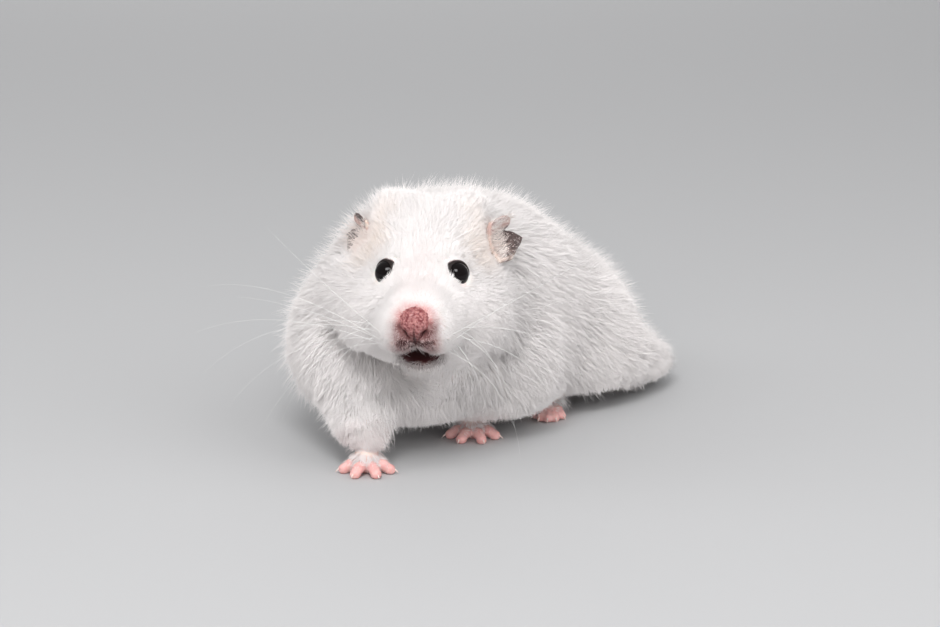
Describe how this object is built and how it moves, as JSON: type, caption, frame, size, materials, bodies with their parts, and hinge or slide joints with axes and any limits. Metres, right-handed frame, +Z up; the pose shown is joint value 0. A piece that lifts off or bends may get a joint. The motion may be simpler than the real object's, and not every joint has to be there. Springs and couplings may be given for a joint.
{
  "type": "syrian hamster",
  "caption": "Life-size long-haired white Syrian hamster, standing still with its right forepaw ahead and its head turned a little to its left.",
  "frame": {"origin": "on the floor, under the middle of the whole model's box", "axes": "+Y towards the tail along the body's length, +X to the animal's left, +Z up"},
  "size_m": [0.078, 0.134, 0.0631],
  "materials": {
    "coat": "soft long fur, white, with a warm tinge beside the ears and cheeks",
    "ear_skin": "thin grey-brown skin with short hair, pink inside",
    "nose_skin": "moist pebbled pink skin",
    "paw_skin": "bare pink skin with fine folds",
    "eye": "wet and glossy, near black",
    "claw": "translucent pale horn"
  },
  "bodies": {
    "root": {"head": "coat", "neck": "coat", "trunk": "coat", "tail": "coat", "lower_jaw": "coat", "fore_right_leg": "coat", "fore_left_leg": "coat", "hind_right_leg": "coat", "hind_left_leg": "coat", "nose": "nose_skin", "ear_left": "ear_skin", "ear_right": "ear_skin", "eye_left": "eye", "eye_right": "eye", "fore_right_paw": "paw_skin", "fore_right_claw_1": "claw", "fore_right_claw_2": "claw", "fore_right_claw_3": "claw", "fore_right_claw_4": "claw", "fore_left_paw": "paw_skin", "fore_left_claw_1": "claw", "fore_left_claw_2": "claw", "fore_left_claw_3": "claw", "fore_left_claw_4": "claw", "hind_right_paw": "paw_skin", "hind_right_claw_1": "claw", "hind_right_claw_2": "claw", "hind_right_claw_3": "claw", "hind_right_claw_4": "claw", "hind_right_claw_5": "claw", "hind_left_paw": "paw_skin", "hind_left_claw_1": "claw", "hind_left_claw_2": "claw", "hind_left_claw_3": "claw", "hind_left_claw_4": "claw", "hind_left_claw_5": "claw"}
  },
  "joints": []
}
